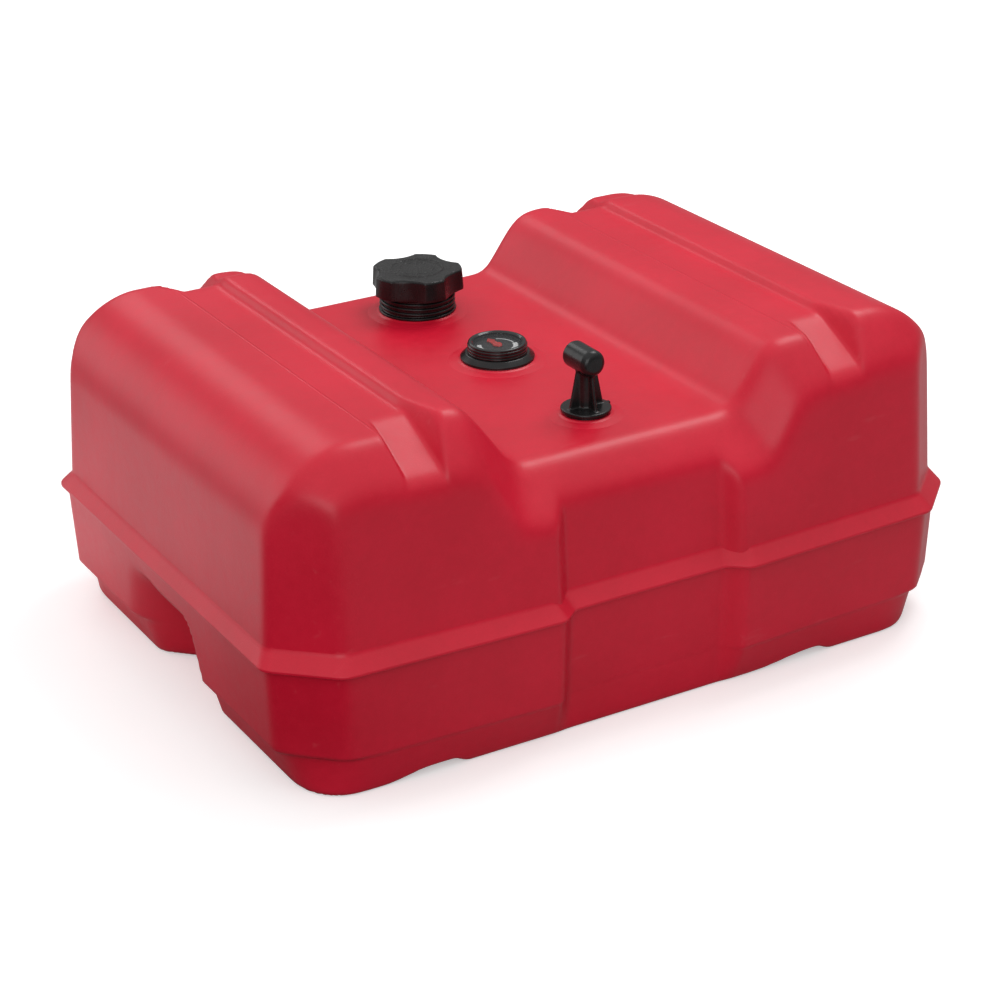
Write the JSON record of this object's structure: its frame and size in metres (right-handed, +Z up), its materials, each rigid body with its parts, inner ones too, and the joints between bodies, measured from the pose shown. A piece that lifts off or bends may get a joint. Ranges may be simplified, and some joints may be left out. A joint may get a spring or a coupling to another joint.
{
  "type": "outboard fuel tank",
  "caption": "Low rectangular moulded fuel tank with strap humps, hand-holds, vented screw cap, float gauge and swivelling hose pickup.",
  "frame": {"origin": "middle of the footprint, on the surface that the tank stands on", "axes": "+X along the tank, from the left hump to the right hump as seen from the pickup's side, +Y across it from the pickup toward the filler cap, +Z up"},
  "size_m": [0.597, 0.4668, 0.2615],
  "materials": {
    "red_polyethylene": "satin blow-moulded red polyethylene",
    "black_polyethylene": "satin black moulded plastic with a fine grain",
    "gloss_black": "glossy black moulding",
    "clear_lens": "clear polycarbonate",
    "dial_black": "black dial with white arc segments",
    "needle_red": "red needle",
    "black_rubber": "fuel-proof black rubber",
    "stainless": "stainless steel",
    "float_foam": "closed-cell float foam",
    "natural_plastic": "natural moulded plastic"
  },
  "bodies": {
    "tank": {"tank_hump_left": "red_polyethylene", "tank_valley": "red_polyethylene", "tank_hump_right": "red_polyethylene", "tank_lower": "red_polyethylene", "filler_neck": "black_polyethylene", "gauge_gasket": "black_rubber", "gauge_body": "black_polyethylene", "gauge_bezel": "gloss_black", "gauge_lens": "clear_lens", "gauge_dial": "dial_black", "gauge_rods": "stainless", "gauge_foot": "natural_plastic", "pickup_bushing": "black_polyethylene"},
    "gasket": {"cap_gasket": "black_rubber"},
    "cap": {"cap_shell": "black_polyethylene", "cap_liner": "black_polyethylene", "relief_retainer": "natural_plastic", "relief_spring": "stainless"},
    "relief_valve": {"relief_poppet": "natural_plastic"},
    "vacuum_valve": {"vacuum_valve": "black_rubber"},
    "needle": {"gauge_pointer": "needle_red", "gauge_strip": "stainless"},
    "float": {"gauge_float": "float_foam", "float_key": "natural_plastic"},
    "pickup": {"pickup_elbow": "black_polyethylene", "pickup_seal": "black_rubber", "pickup_clip": "stainless", "pickup_tube": "natural_plastic", "check_seat": "natural_plastic", "check_spring": "stainless", "pickup_strainer": "natural_plastic"},
    "ball": {"check_ball": "stainless"}
  },
  "joints": [
    {"name": "cap_lift", "type": "slide", "parent": "tank", "child": "gasket", "axis": [0, 0, 1], "range_m": [0, 0.008]},
    {"name": "cap_turn", "type": "hinge", "parent": "gasket", "child": "cap", "pos_m": [0, 0.1275, 0.236], "axis": [0, 0, 1], "range_deg": [0, 720]},
    {"name": "relief_lift", "type": "slide", "parent": "cap", "child": "relief_valve", "axis": [0, 0, 1], "range_m": [0, 0.003], "stiffness_N_per_m": 300, "springref_m": -0.004, "deforming": ["relief_spring"]},
    {"name": "vacuum_drop", "type": "slide", "parent": "cap", "child": "vacuum_valve", "axis": [0, 0, -1], "range_m": [0, 0.0012], "stiffness_N_per_m": 20, "springref_m": -0.002},
    {"name": "float_rise", "type": "slide", "parent": "tank", "child": "float", "axis": [0, 0, 1], "range_m": [0, 0.14]},
    {"name": "pointer_turn", "type": "hinge", "parent": "tank", "child": "needle", "pos_m": [0, -0.001, 0.215], "axis": [0, 0, 1], "range_deg": [-270.1, 0]},
    {"name": "pickup_swivel", "type": "hinge", "parent": "tank", "child": "pickup", "pos_m": [0, -0.1295, 0.211], "axis": [0, 0, 1], "continuous": true},
    {"name": "check_lift", "type": "slide", "parent": "pickup", "child": "ball", "axis": [0, 0, 1], "range_m": [0, 0.003], "stiffness_N_per_m": 60, "springref_m": -0.002, "deforming": ["check_spring"]}
  ],
  "couplings": [
    {"joint": "cap_lift", "follows": "cap_turn", "m_per_rad": 0.00063662},
    {"joint": "pointer_turn", "follows": "float_rise", "rad_per_m": -33.66}
  ]
}
